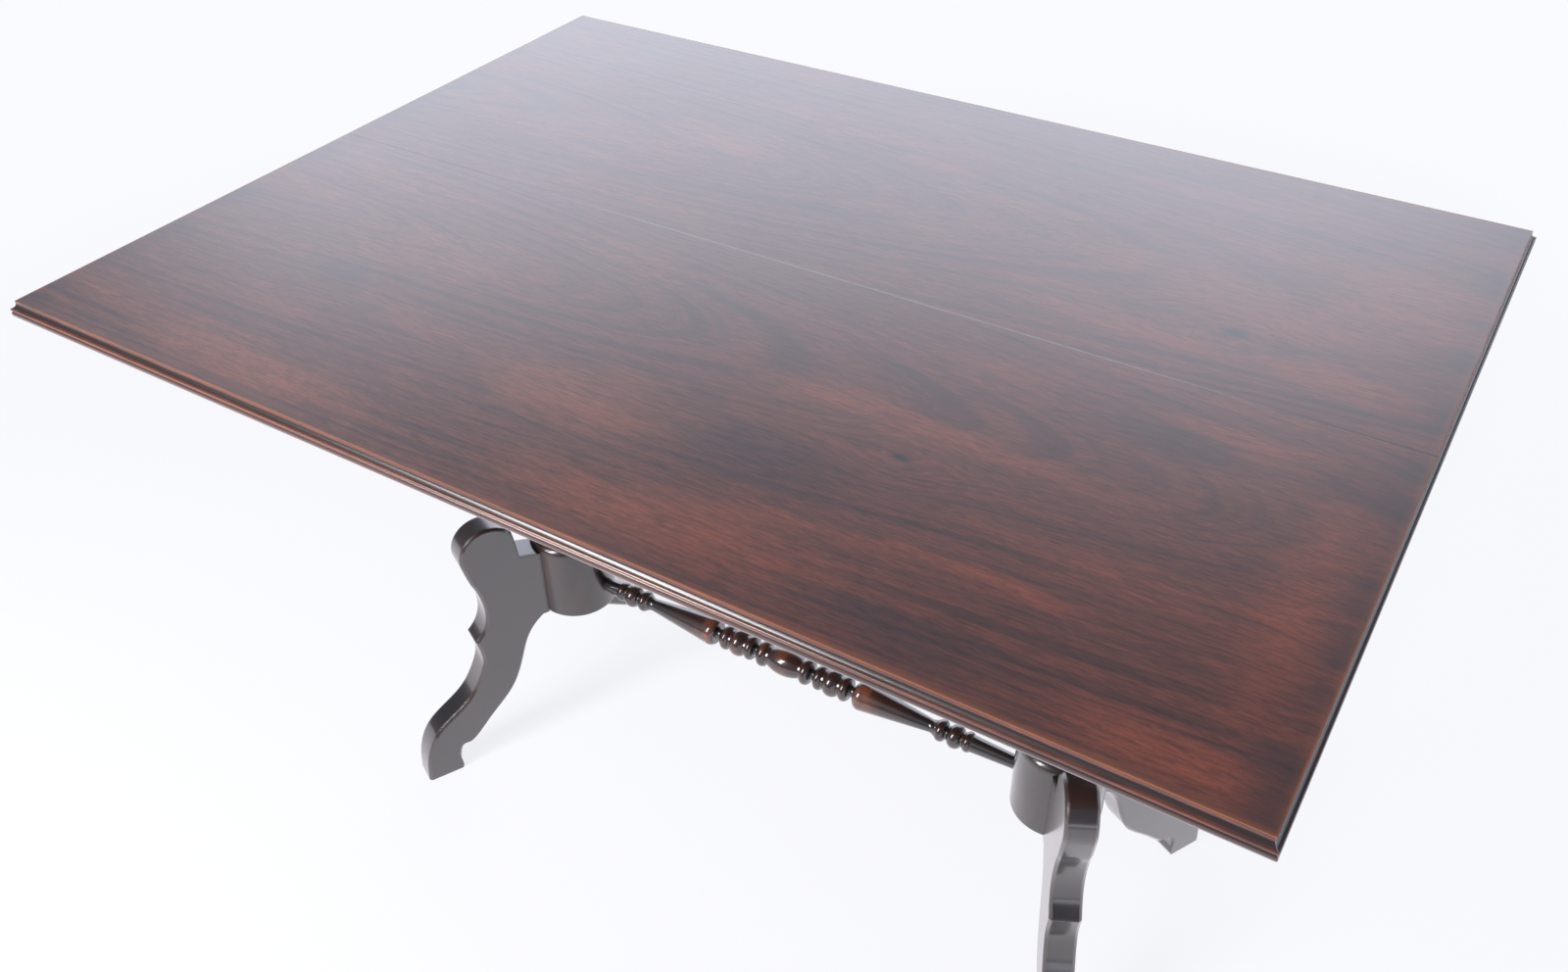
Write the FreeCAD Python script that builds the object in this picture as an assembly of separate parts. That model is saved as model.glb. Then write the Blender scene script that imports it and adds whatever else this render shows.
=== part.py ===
import FreeCAD
import Part
import math
import os

# Flip-top table in millimetres: +Z up, floor at zero, length along X, front towards -Y.
# The whole two-board top turns up about two pivot pins at the rear of the platform.

# Top
table_height = 740.0
surface_length = 1100.0
surface_depth = 794.0
top_thickness = 17.0
board_joint_gap = 0.2
dowel_radius = 4.0
dowel_length = 60.0
dowel_count = 6
dowel_end_inset = 75.0

# Edge moulding of the top, from the arris down: quirk, cove, fillet, bead, nosing
quirk_drop = 0.8
cove_reach = 3.0
cove_drop = 6.0
fillet_reach = 0.5
bead_drop = 2.6
bead_swell = 0.8
nosing_inset = 0.4
nosing_swell = 1.2
underside_ease = 1.2
underside_rise = 1.6

# Columns, from the drum up: neck, ring, vase, shaft, collar, capital, tenon
column_offset = 313.5
drum_radius = 47.5
drum_bottom = 198.0
drum_shoulder = 290.0
drum_ease = 3.0
shoulder_round = 10.0
neck_radius = 24.0
neck_height = 26.0
ring_radius = 31.0
ring_height = 8.0
ring_swell = 3.0
vase_radius = 37.0
vase_rise = 48.0
vase_fall = 72.0
vase_end_radius = 29.0
shaft_radius = 21.0
collar_drop = 70.0
collar_height = 8.0
collar_radius = 27.0
collar_swell = 3.0
capital_radius = 34.0
capital_height = 14.0
capital_lip = 2.0
capital_throat_drop = 34.0
capital_throat_radius = 23.0
column_tenon_radius = 16.0
column_tenon_cover = 10.5

# Legs, in the plane of the leg: out from the column axis and up from the floor
leg_angle = 62.5
leg_thickness = 32.0
leg_chamfer = 3.0
knee_centre_out = 104.0
knee_rise = 25.0
knee_radius = 35.0
knee_back_angle = 148.0
knee_front_angle = -12.0
ledge_out = 70.0
ledge_drop = 1.0
ledge_slope = 8.0
cusp_out = 139.0
cusp_height = 191.0
toe_out = 229.0
spur_out = 184.0
spur_height = 5.0
sole_setback = 2.0
dovetail_depth = 16.0
dovetail_neck = 12.0
dovetail_back = 18.0
dovetail_root = 2.0
dovetail_cover = 6.0

# Points of the leg's sawn curves, each out and up from the named place, and directions at their ends
arch_from_drum = ((24.0, -23.0), (37.0, -55.0))
arch_middle = (103.0, 101.0)
arch_from_spur = ((-44.0, 57.0), (-13.0, 31.0), (1.0, 9.0))
arch_start_direction = (1.0, -0.6)
arch_end_direction = (0.15, -1.0)
shin_from_toe = ((-5.0, 38.0), (-21.0, 71.0), (-69.0, 109.0))
shin_from_cusp = (-1.0, -45.0)
shin_start_direction = (-0.05, 1.0)
shin_end_direction = (0.25, 1.0)
waist_from_cusp = ((-13.0, 17.0), (-18.0, 41.0), (-12.0, 77.0))
waist_start_direction = (-0.8, 0.75)

# Stretcher: the middle bulb, then turned steps outwards on each half; its shift sets the pattern nearer
# to the left column, as it was turned
stretcher_height = 231.0
stretcher_shift = -14.0
stretcher_end_radius = 7.5
stretcher_tenon = 24.0
bulb_length = 40.0
bulb_radius = 16.0
bulb_end_radius = 11.5
# Each step has its length, its radius at the outer end, and at its middle, or None for a straight step
stretcher_steps = ((2.0, 11.5, None),
                   (12.0, 9.5, 15.6),
                   (6.0, 9.0, 6.8),
                   (10.0, 11.5, 14.8),
                   (2.0, 11.5, None),
                   (18.0, 11.5, 16.2),
                   (2.0, 11.5, None),
                   (11.0, 8.0, 15.0),
                   (8.0, 8.0, 7.0),
                   (0.0, 13.0, None),
                   (8.0, 17.0, 16.4),
                   (81.0, 7.6, None),
                   (8.0, 9.6, 7.8),
                   (1.0, 9.6, None),
                   (11.0, 8.6, 12.6),
                   (3.0, 8.6, 7.8),
                   (16.0, 8.6, 13.6),
                   (2.0, 9.0, None),
                   (9.0, 9.6, 11.6))

# Platform under the top
bearer_width = 70.0
bearer_height = 40.0
bearer_front = 190.0
bearer_front_edge = 15.0
bearer_ogee_length = 70.0
rail_thickness = 24.0
rail_setback = 5.0
rail_pivot_gap = 35.0
rail_tenon_length = 20.0
rail_tenon_thickness = 12.0
rail_tenon_height = 26.0

# Battens and pivots
batten_width = 38.0
batten_lift = 4.0
batten_length = 560.0
batten_end_rise = 16.0
batten_end_length = 60.0
batten_side_gap = 0.6
pivot_back = 130.0
pivot_radius = 5.0
pivot_head_radius = 8.0
pivot_head_thickness = 2.5
pivot_engagement = 40.0
pivot_end_gap = 1.0
pivot_clearance = 0.06
nose_clearance = 0.4

# Stops under the bearers, met by the battens when the top stands upright
stop_length = 30.0
stop_depth = 22.0
stop_round = 12.0
stop_overhang = 26.0
stop_clearance = 0.3

# Brass bolts
bolt_offset = 150.0
bolt_radius = 4.0
bolt_drop = 9.0
bolt_tip_gap = 3.5
bolt_tail = 10.0
bolt_clearance = 0.06
bolt_travel = 16.0
bolt_stop_gap = 0.5
knob_radius = 5.0
knob_stem_radius = 2.5
knob_clearance = 1.0
plate_width = 34.0
plate_thickness = 2.0
plate_tip_gap = 6.5
bridge_length = 12.0
bridge_width = 18.0
bridge_inset = 2.0
keeper_width = 44.0
keeper_height = 24.0
keeper_thickness = 2.0
keeper_top_gap = 2.0
keeper_hole_clearance = 0.6
mortise_end_gap = 2.0

# Screws
batten_screw_radius = 2.25
batten_screw_bite = 12.0
batten_screw_inner = 70.0
batten_screw_end_inset = 20.0
small_screw_radius = 1.6
small_screw_bite = 9.0
screw_head_ratio = 2.0
plate_screw_side_inset = 4.0
plate_screw_end_inset = 5.0
keeper_screw_inset = 6.0

# Fits
glue_gap = 0.1

# Heights and places that follow from the sizes
underside = table_height - top_thickness
bearer_bottom = underside - bearer_height
bearer_outer = column_offset + bearer_width / 2
bearer_inner = column_offset - bearer_width / 2
drum_face = column_offset - drum_radius
pivot_height = underside - bearer_height / 2
batten_depth = bearer_height - batten_lift
batten_bottom = underside - batten_depth
batten_inner = bearer_outer + batten_side_gap
batten_outer = batten_inner + batten_width
rail_front_face = bearer_ogee_length - bearer_front + rail_setback
rail_rear_start = pivot_back - rail_pivot_gap - rail_thickness

# Heights of the moulding's lines, and how far it reaches past the arris
cove_foot = table_height - quirk_drop - cove_drop
bead_foot = cove_foot - bead_drop
nosing_foot = underside + underside_rise
bead_line = cove_reach + fillet_reach
nosing_line = bead_line - nosing_inset
moulding_reach = max(bead_line + bead_swell, nosing_line + nosing_swell)

# Places along the bolts: the plate is just long enough for the knob's travel between the bridges
bolt_height = underside - bolt_drop
bridge_depth = 2 * (bolt_drop - plate_thickness)
knob_stem_length = bridge_depth / 2 + knob_clearance + knob_radius
plate_length = 2 * (bridge_inset + bridge_length + bolt_stop_gap + knob_stem_radius) + bolt_travel
keeper_face = rail_front_face - keeper_thickness
bolt_tip = keeper_face - bolt_tip_gap
plate_rear = bolt_tip - plate_tip_gap
plate_front = plate_rear - plate_length
knob_place = plate_front + bridge_inset + bridge_length + bolt_stop_gap + knob_stem_radius

up = FreeCAD.Vector(0, 0, 1)
down = FreeCAD.Vector(0, 0, -1)
along_x = FreeCAD.Vector(1, 0, 0)
along_y = FreeCAD.Vector(0, 1, 0)
half_diagonal = math.sqrt(0.5)


def line(a, b):
    return Part.makeLine(a, b)


def arc(a, middle, b):
    return Part.Arc(a, middle, b).toShape()


def curve(points, start, end):
    spline = Part.BSplineCurve()
    spline.interpolate(Points=points, InitialTangent=start, FinalTangent=end)
    return spline.toShape()


def face_of(edges):
    return Part.Face(Part.Wire(edges))


def box(x0, x1, y0, y1, z0, z1):
    return Part.makeBox(x1 - x0, y1 - y0, z1 - z0, FreeCAD.Vector(x0, y0, z0))


def without(shape, tools):
    for tool in tools:
        shape = shape.cut(tool)
    return shape


def save(name, shape):
    shape.exportStep("parts/" + name + ".step")


# Top boards: two moulded sections crossing each other give mitred corners

def moulded_edge(place):
    # Edge lines from the arris of the upper surface down to the underside; place maps reach and height
    quirk_foot = table_height - quirk_drop
    corners = [place(0, table_height),
               place(0, quirk_foot),
               place(cove_reach, cove_foot),
               place(bead_line, cove_foot),
               place(bead_line, bead_foot),
               place(nosing_line, bead_foot),
               place(nosing_line, nosing_foot),
               place(nosing_line - underside_ease, underside)]
    cove_middle = place(cove_reach * (1 - half_diagonal), quirk_foot - cove_drop * half_diagonal)
    bead_middle = place(bead_line + bead_swell, (cove_foot + bead_foot) / 2)
    nosing_middle = place(nosing_line + nosing_swell, (bead_foot + nosing_foot) / 2)
    return [line(corners[0], corners[1]),
            arc(corners[1], cove_middle, corners[2]),
            line(corners[2], corners[3]),
            arc(corners[3], bead_middle, corners[4]),
            line(corners[4], corners[5]),
            arc(corners[5], nosing_middle, corners[6]),
            line(corners[6], corners[7])], corners[0], corners[7]


def end_section():
    def right(reach, height):
        return FreeCAD.Vector(surface_length / 2 + reach, 0, height)

    def left(reach, height):
        return FreeCAD.Vector(-surface_length / 2 - reach, 0, height)

    right_edges, right_top, right_low = moulded_edge(right)
    left_edges, left_top, left_low = moulded_edge(left)
    lower = [line(right_low, left_low)]
    upper = [line(left_top, right_top)]
    return face_of(right_edges + lower + left_edges[::-1] + upper)


def board(side):
    # side is -1 for the front board and 1 for the rear board
    def outward(reach, height):
        return FreeCAD.Vector(0, side * (surface_depth / 2 + reach), height)

    edges, edge_top, edge_low = moulded_edge(outward)
    joint_top = FreeCAD.Vector(0, side * board_joint_gap / 2, table_height)
    joint_low = FreeCAD.Vector(0, side * board_joint_gap / 2, underside)
    inner_edges = [line(edge_low, joint_low), line(joint_low, joint_top), line(joint_top, edge_top)]
    section = face_of(edges + inner_edges)
    length = surface_length + 4 * moulding_reach
    depth = surface_depth + 4 * moulding_reach
    section.translate(along_x * (-length / 2))
    ends = end_section()
    ends.translate(along_y * (-depth / 2))
    return section.extrude(along_x * length).common(ends.extrude(along_y * depth))


def board_dowels(extra):
    height = table_height - top_thickness / 2
    first = dowel_end_inset - surface_length / 2
    spacing = (surface_length - 2 * dowel_end_inset) / (dowel_count - 1)
    length = dowel_length + 2 * extra
    return [Part.makeCylinder(dowel_radius + extra, length,
                              FreeCAD.Vector(first + spacing * i, -length / 2, height), along_y)
            for i in range(dowel_count)]


# Columns: one turned profile from the drum to the tenon, with sockets for the legs and the stretcher

def column_profile():
    def at(height, radius):
        return FreeCAD.Vector(radius, 0, height)

    foot = drum_radius - drum_ease
    foot_top = drum_bottom + drum_ease
    foot_bend = drum_ease * half_diagonal
    shoulder = drum_radius - shoulder_round
    shoulder_bend = shoulder_round * half_diagonal
    neck = drum_shoulder + shoulder_round
    ring = neck + neck_height
    vase = ring + ring_height
    collar = bearer_bottom - collar_drop
    throat = collar + collar_height
    capital = bearer_bottom - capital_height
    lip = capital_radius - capital_lip
    tenon = underside - column_tenon_cover
    vase_points = [at(vase, neck_radius),
                   at(vase + vase_rise, vase_radius),
                   at(vase + vase_rise + vase_fall, vase_end_radius),
                   at(collar, shaft_radius)]
    edges = [line(at(drum_bottom, 0), at(drum_bottom, foot)),
             arc(at(drum_bottom, foot), at(foot_top - foot_bend, foot + foot_bend),
                 at(foot_top, drum_radius)),
             line(at(foot_top, drum_radius), at(drum_shoulder, drum_radius)),
             arc(at(drum_shoulder, drum_radius),
                 at(drum_shoulder + shoulder_bend, shoulder + shoulder_bend),
                 at(neck, shoulder)),
             line(at(neck, shoulder), at(neck, ring_radius)),
             arc(at(neck, ring_radius), at((neck + ring) / 2, neck_radius), at(ring, ring_radius)),
             arc(at(ring, ring_radius), at((ring + vase) / 2, ring_radius + ring_swell),
                 at(vase, ring_radius)),
             line(at(vase, ring_radius), vase_points[0]),
             curve(vase_points, FreeCAD.Vector(1, 0, 0.7), FreeCAD.Vector(-0.04, 0, 1)),
             line(vase_points[-1], at(collar, collar_radius)),
             arc(at(collar, collar_radius), at((collar + throat) / 2, collar_radius + collar_swell),
                 at(throat, collar_radius)),
             line(at(throat, collar_radius), at(throat, shaft_radius)),
             arc(at(throat, shaft_radius), at(bearer_bottom - capital_throat_drop, capital_throat_radius),
                 at(capital, lip)),
             line(at(capital, lip), at(capital, capital_radius)),
             line(at(capital, capital_radius), at(bearer_bottom, capital_radius)),
             line(at(bearer_bottom, capital_radius), at(bearer_bottom, column_tenon_radius)),
             line(at(bearer_bottom, column_tenon_radius), at(tenon, column_tenon_radius)),
             line(at(tenon, column_tenon_radius), at(tenon, 0)),
             line(at(tenon, 0), at(drum_bottom, 0))]
    return face_of(edges).revolve(FreeCAD.Vector(0, 0, 0), up, 360)


def column(side):
    body = column_profile()
    body.translate(along_x * side * column_offset)
    sockets = [placed(dovetail(glue_gap), side, leg_turn(side, facing)) for facing in (-1, 1)]
    mortise = Part.makeCylinder(stretcher_end_radius + glue_gap, stretcher_tenon + glue_gap,
                                FreeCAD.Vector(side * drum_face, 0, stretcher_height), along_x * side)
    return without(body, sockets + [mortise])


# Stretcher: turned between the drums, its pattern mirrored about the bulb

def stretcher():
    def at(place, radius):
        return FreeCAD.Vector(place, 0, stretcher_height + radius)

    end = drum_face + stretcher_tenon
    pattern = [(bulb_length / 2, bulb_end_radius)]
    for length, radius, middle in stretcher_steps:
        pattern.append((pattern[-1][0] + length, radius))
    middles = [middle for length, radius, middle in stretcher_steps] + [None, None]
    steps = [line(at(-end, 0), at(-end, stretcher_end_radius)),
             arc(at(stretcher_shift - bulb_length / 2, bulb_end_radius), at(stretcher_shift, bulb_radius),
                 at(stretcher_shift + bulb_length / 2, bulb_end_radius)),
             line(at(end, stretcher_end_radius), at(end, 0)),
             line(at(end, 0), at(-end, 0))]
    for half in (-1, 1):
        rim = [(stretcher_shift + half * place, radius) for place, radius in pattern]
        rim += [(half * drum_face, stretcher_end_radius), (half * end, stretcher_end_radius)]
        for (start, start_radius), (stop, stop_radius), middle in zip(rim, rim[1:], middles):
            a = at(start, start_radius)
            b = at(stop, stop_radius)
            if middle is None:
                steps.append(line(a, b))
            else:
                steps.append(arc(a, at((start + stop) / 2, middle), b))
    outline = Part.__sortEdges__(steps)
    return face_of(outline).revolve(at(0, 0), along_x, 360)


# Legs: sawn outline with a scrolled knee, chamfered arrises and a sliding dovetail

def leg_outline():
    def at(out, height):
        return FreeCAD.Vector(out, -leg_thickness / 2, height)

    def beside(out, height, steps):
        return [at(out + step[0], height + step[1]) for step in steps]

    def towards(direction):
        return FreeCAD.Vector(direction[0], 0, direction[1])

    def on_knee(angle):
        turn = math.radians(angle)
        return at(knee_centre_out + knee_radius * math.cos(turn),
                  drum_shoulder + knee_rise + knee_radius * math.sin(turn))

    inside = drum_radius - dovetail_depth / 2
    ledge_inner = at(inside, drum_shoulder - ledge_drop)
    ledge_outer = at(ledge_out, drum_shoulder - ledge_drop + ledge_slope)
    knee_turn = math.radians(knee_front_angle)
    knee_direction = (-math.sin(knee_turn), math.cos(knee_turn))
    knee_middle_angle = (knee_back_angle + knee_front_angle) / 2
    spur = at(spur_out, spur_height)
    heel = at(spur_out + sole_setback, 0)
    toe = at(toe_out, 0)
    cusp = at(cusp_out, cusp_height)
    arch = [at(drum_radius, drum_bottom)] + beside(drum_radius, drum_bottom, arch_from_drum)
    arch += [at(arch_middle[0], arch_middle[1])] + beside(spur_out, spur_height, arch_from_spur)
    shin = [toe] + beside(toe_out, 0, shin_from_toe)
    shin += beside(cusp_out, cusp_height, [shin_from_cusp]) + [cusp]
    waist = [cusp] + beside(cusp_out, cusp_height, waist_from_cusp) + [on_knee(knee_front_angle)]
    return [line(at(inside, drum_bottom), arch[0]),
            curve(arch, towards(arch_start_direction), towards(arch_end_direction)),
            line(arch[-1], spur),
            line(spur, heel),
            line(heel, toe),
            curve(shin, towards(shin_start_direction), towards(shin_end_direction)),
            curve(waist, towards(waist_start_direction), towards(knee_direction)),
            arc(on_knee(knee_front_angle), on_knee(knee_middle_angle), on_knee(knee_back_angle)),
            line(on_knee(knee_back_angle), ledge_outer),
            line(ledge_outer, ledge_inner),
            line(ledge_inner, at(inside, drum_bottom))]


def dovetail(extra):
    # Extra widens the tail into the socket that is cut for it, open at the foot of the drum
    root = drum_radius + dovetail_root
    back = drum_radius - dovetail_depth - extra
    neck_half = dovetail_neck / 2 + extra
    back_half = dovetail_back / 2 + extra
    start = drum_bottom - extra
    corners = [FreeCAD.Vector(root, neck_half, start),
               FreeCAD.Vector(back, back_half, start),
               FreeCAD.Vector(back, -back_half, start),
               FreeCAD.Vector(root, -neck_half, start)]
    section = Part.Face(Part.makePolygon(corners + corners[:1]))
    return section.extrude(up * (drum_shoulder - dovetail_cover + extra - start))


def leg():
    body = face_of(leg_outline()).extrude(along_y * leg_thickness)
    curved = [edge for edge in body.Edges if edge.Curve.TypeId != "Part::GeomLine"]
    body = body.makeChamfer(leg_chamfer, curved)
    body = body.cut(Part.makeCylinder(drum_radius + glue_gap, table_height))
    return body.fuse(dovetail(0)).removeSplitter()


def placed(shape, side, turn):
    copy = shape.copy()
    copy.rotate(FreeCAD.Vector(0, 0, 0), up, turn)
    copy.translate(along_x * side * column_offset)
    return copy


def leg_turn(side, facing):
    # side is -1 left or 1 right, facing is -1 front or 1 rear
    outward = leg_angle if side > 0 else 180 - leg_angle
    return facing * outward


# Platform: bearers with a rounded pivot nose behind and an ogee in front, joined by two rails

def bearer(side):
    def at(y, z):
        return FreeCAD.Vector(side * column_offset - bearer_width / 2, y, z)

    nose = bearer_height / 2 - nose_clearance
    front = -bearer_front
    ogee_start = front + bearer_ogee_length
    ogee_end = underside - bearer_front_edge
    ogee = [at(ogee_start, bearer_bottom),
            at((front + ogee_start) / 2, (bearer_bottom + ogee_end) / 2),
            at(front, ogee_end)]
    edges = [line(at(front, underside), at(pivot_back, underside)),
             line(at(pivot_back, underside), at(pivot_back, pivot_height + nose)),
             arc(at(pivot_back, pivot_height + nose), at(pivot_back + nose, pivot_height),
                 at(pivot_back, pivot_height - nose)),
             line(at(pivot_back, pivot_height - nose), at(pivot_back, bearer_bottom)),
             line(at(pivot_back, bearer_bottom), ogee[0]),
             curve(ogee, along_y * -1, along_y * -1),
             line(ogee[-1], at(front, underside))]
    body = face_of(edges).extrude(along_x * bearer_width)
    column_place = FreeCAD.Vector(side * column_offset, 0, bearer_bottom)
    column_mortise = Part.makeCylinder(column_tenon_radius + glue_gap,
                                       bearer_height - column_tenon_cover + glue_gap, column_place)
    pivot_place = FreeCAD.Vector(side * bearer_outer, pivot_back, pivot_height)
    pivot_bore = Part.makeCylinder(pivot_radius + pivot_clearance, pivot_engagement + pivot_end_gap,
                                   pivot_place, along_x * -side)
    rail_mortises = [rail_tenon(side, start, glue_gap) for start in (rail_front_face, rail_rear_start)]
    return without(body, [column_mortise, pivot_bore] + rail_mortises)


def rail_tenon(side, start, extra):
    middle = start + rail_thickness / 2
    half_thickness = rail_tenon_thickness / 2 + extra
    centre = (underside + bearer_bottom) / 2
    half_height = rail_tenon_height / 2 + extra
    inner = side * bearer_inner
    outer = side * (bearer_inner + rail_tenon_length + extra)
    return box(min(inner, outer), max(inner, outer), middle - half_thickness, middle + half_thickness,
               centre - half_height, centre + half_height)


def rail(start):
    body = box(-bearer_inner, bearer_inner, start, start + rail_thickness, bearer_bottom, underside)
    for side in (-1, 1):
        body = body.fuse(rail_tenon(side, start, 0))
    return body.removeSplitter()


# Battens and pivots, which turn with the top, and the stops that meet the battens

def batten(side):
    start = batten_inner if side > 0 else -batten_outer

    def at(y, z):
        return FreeCAD.Vector(start, y, z)

    end = batten_length / 2
    flat = end - batten_end_length
    rise = batten_bottom + batten_end_rise
    half_rise = batten_bottom + batten_end_rise / 2
    front_ogee = [at(-end, rise), at(-(end + flat) / 2, half_rise), at(-flat, batten_bottom)]
    rear_ogee = [at(flat, batten_bottom), at((end + flat) / 2, half_rise), at(end, rise)]
    edges = [line(at(-end, underside), front_ogee[0]),
             curve(front_ogee, along_y, along_y),
             line(front_ogee[-1], rear_ogee[0]),
             curve(rear_ogee, along_y, along_y),
             line(rear_ogee[-1], at(end, underside)),
             line(at(end, underside), at(-end, underside))]
    return face_of(edges).extrude(along_x * batten_width)


def pivot_pin(side):
    inner = bearer_outer - pivot_engagement
    shank = Part.makeCylinder(pivot_radius, batten_outer - inner,
                              FreeCAD.Vector(side * inner, pivot_back, pivot_height), along_x * side)
    head = Part.makeCylinder(pivot_head_radius, pivot_head_thickness,
                             FreeCAD.Vector(side * batten_outer, pivot_back, pivot_height), along_x * -side)
    return shank.fuse(head).removeSplitter()


def flip_stop(side):
    # The rear face lies where the batten's lower face comes to rest when the top stands upright
    def at(y, z):
        return FreeCAD.Vector(side * column_offset, y, z)

    rear = pivot_back - (pivot_height - batten_bottom) - stop_clearance
    front = rear - stop_length
    low = bearer_bottom - stop_depth
    round_back = front + stop_round
    round_top = low + stop_round
    bend = stop_round * half_diagonal
    edges = [line(at(rear, bearer_bottom), at(rear, low)),
             line(at(rear, low), at(round_back, low)),
             arc(at(round_back, low), at(round_back - bend, round_top - bend), at(front, round_top)),
             line(at(front, round_top), at(front, bearer_bottom)),
             line(at(front, bearer_bottom), at(rear, bearer_bottom))]
    return face_of(edges).extrude(along_x * side * (bearer_width / 2 + stop_overhang))


# Screws: countersunk head and plain shank

def screw(radius, length, head_place, direction):
    head = radius * screw_head_ratio
    cone = Part.makeCone(head, radius, head - radius, head_place, direction)
    shank = Part.makeCylinder(radius, length, head_place, direction)
    return cone.fuse(shank).removeSplitter()


def batten_screws():
    middle = (batten_inner + batten_outer) / 2
    far = batten_length / 2 - batten_end_length - batten_screw_end_inset
    return [screw(batten_screw_radius, batten_depth + batten_screw_bite,
                  FreeCAD.Vector(side * middle, facing * place, batten_bottom), up)
            for side in (-1, 1) for facing in (-1, 1) for place in (batten_screw_inner, far)]


def plate_screws():
    across = plate_width / 2 - plate_screw_side_inset
    reach = plate_length / 2 - plate_screw_end_inset
    middle = (plate_front + plate_rear) / 2
    low = underside - plate_thickness
    return [screw(small_screw_radius, plate_thickness + small_screw_bite,
                  FreeCAD.Vector(side * bolt_offset + i * across, middle + j * reach, low), up)
            for side in (-1, 1) for i in (-1, 1) for j in (-1, 1)]


def keeper_screws():
    across = keeper_width / 2 - keeper_screw_inset
    height = underside - keeper_top_gap - keeper_height / 2
    return [screw(small_screw_radius, keeper_thickness + small_screw_bite,
                  FreeCAD.Vector(side * bolt_offset + i * across, keeper_face, height), along_y)
            for side in (-1, 1) for i in (-1, 1)]


# Brass bolts: plate and bridges under the front board, sliding bolt, keeper on the front rail

def bolt_plate(side):
    centre = side * bolt_offset
    low = underside - plate_thickness
    body = box(centre - plate_width / 2, centre + plate_width / 2, plate_front, plate_rear, low, underside)
    for start in (plate_front + bridge_inset, plate_rear - bridge_inset - bridge_length):
        bridge = box(centre - bridge_width / 2, centre + bridge_width / 2, start, start + bridge_length,
                     low - bridge_depth, low)
        body = body.fuse(bridge)
    bore = Part.makeCylinder(bolt_radius + bolt_clearance, plate_length,
                             FreeCAD.Vector(centre, plate_front, bolt_height), along_y)
    return body.removeSplitter().cut(bore)


def bolt(side):
    centre = side * bolt_offset
    rod = Part.makeCylinder(bolt_radius, plate_tip_gap + plate_length + bolt_tail,
                            FreeCAD.Vector(centre, plate_front - bolt_tail, bolt_height), along_y)
    stem_place = FreeCAD.Vector(centre, knob_place, bolt_height)
    stem = Part.makeCylinder(knob_stem_radius, knob_stem_length, stem_place, down)
    ball = Part.makeSphere(knob_radius, stem_place + down * knob_stem_length)
    return rod.fuse(stem).fuse(ball).removeSplitter()


def keeper(side):
    centre = side * bolt_offset
    top = underside - keeper_top_gap
    body = box(centre - keeper_width / 2, centre + keeper_width / 2, keeper_face, rail_front_face,
               top - keeper_height, top)
    return body.cut(bolt_hole(side))


def bolt_hole(side):
    # Through the keeper and into the front rail, as deep as the bolt's throw needs
    depth = bolt_travel - bolt_tip_gap + mortise_end_gap
    return Part.makeCylinder(bolt_radius + keeper_hole_clearance, depth,
                             FreeCAD.Vector(side * bolt_offset, keeper_face, bolt_height), along_y)


os.makedirs("parts", exist_ok=True)

long_screws = batten_screws()
board_screws = plate_screws()
rail_screws = keeper_screws()
dowel_holes = board_dowels(glue_gap)

save("front_board", without(board(-1), dowel_holes + long_screws + board_screws))
save("rear_board", without(board(1), dowel_holes + long_screws))
save("board_dowels", Part.makeCompound(board_dowels(0)))
save("batten_screws", Part.makeCompound(long_screws))
save("plate_screws", Part.makeCompound(board_screws))
save("keeper_screws", Part.makeCompound(rail_screws))
save("front_rail", without(rail(rail_front_face), [bolt_hole(-1), bolt_hole(1)] + rail_screws))
save("rear_rail", rail(rail_rear_start))
save("stretcher", stretcher())

leg_shape = leg()
for side, hand in ((-1, "left"), (1, "right")):
    pin = pivot_pin(side)
    save(hand + "_column", column(side))
    save(hand + "_bearer", bearer(side))
    save(hand + "_flip_stop", flip_stop(side))
    save(hand + "_batten", without(batten(side), [pin] + long_screws))
    save(hand + "_pivot_pin", pin)
    save(hand + "_bolt_plate", without(bolt_plate(side), board_screws))
    save(hand + "_bolt", bolt(side))
    save(hand + "_keeper", without(keeper(side), rail_screws))
    for facing, end in ((-1, "front"), (1, "rear")):
        save(hand + "_" + end + "_leg", placed(leg_shape, side, leg_turn(side, facing)))
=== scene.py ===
# %% [markdown]
# # A flip-top table, dressed piece by piece
# The table has a top of two polished boards with a moulded edge, two turned columns with four scroll
# The shapes come from the imported frame, in metres, and this lesson gives each piece its finish. We load the
# frame first, print its size and keep its box, whose top sets the height of the table top.

# %% Load the frame
import math

import bpy
from mathutils import Matrix, Vector


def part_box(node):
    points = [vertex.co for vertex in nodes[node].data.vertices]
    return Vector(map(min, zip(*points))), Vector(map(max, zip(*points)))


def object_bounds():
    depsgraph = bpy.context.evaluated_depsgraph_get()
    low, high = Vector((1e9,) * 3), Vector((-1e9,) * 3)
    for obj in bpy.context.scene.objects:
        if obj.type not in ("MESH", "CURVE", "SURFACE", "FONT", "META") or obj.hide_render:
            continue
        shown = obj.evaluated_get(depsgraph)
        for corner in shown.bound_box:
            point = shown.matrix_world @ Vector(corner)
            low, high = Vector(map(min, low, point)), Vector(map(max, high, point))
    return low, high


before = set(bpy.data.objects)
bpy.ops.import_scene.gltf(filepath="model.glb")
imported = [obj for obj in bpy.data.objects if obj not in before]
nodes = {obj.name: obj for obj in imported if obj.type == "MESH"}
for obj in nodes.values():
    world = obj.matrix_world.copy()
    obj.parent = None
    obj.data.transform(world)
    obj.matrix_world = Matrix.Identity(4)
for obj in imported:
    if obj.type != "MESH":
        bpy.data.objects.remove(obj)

bpy.context.view_layer.update()
cad_low, cad_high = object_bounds()
scene = bpy.context.scene
print("frame:", len(nodes), "pieces, size", [round(v, 4) for v in cad_high - cad_low])

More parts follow.
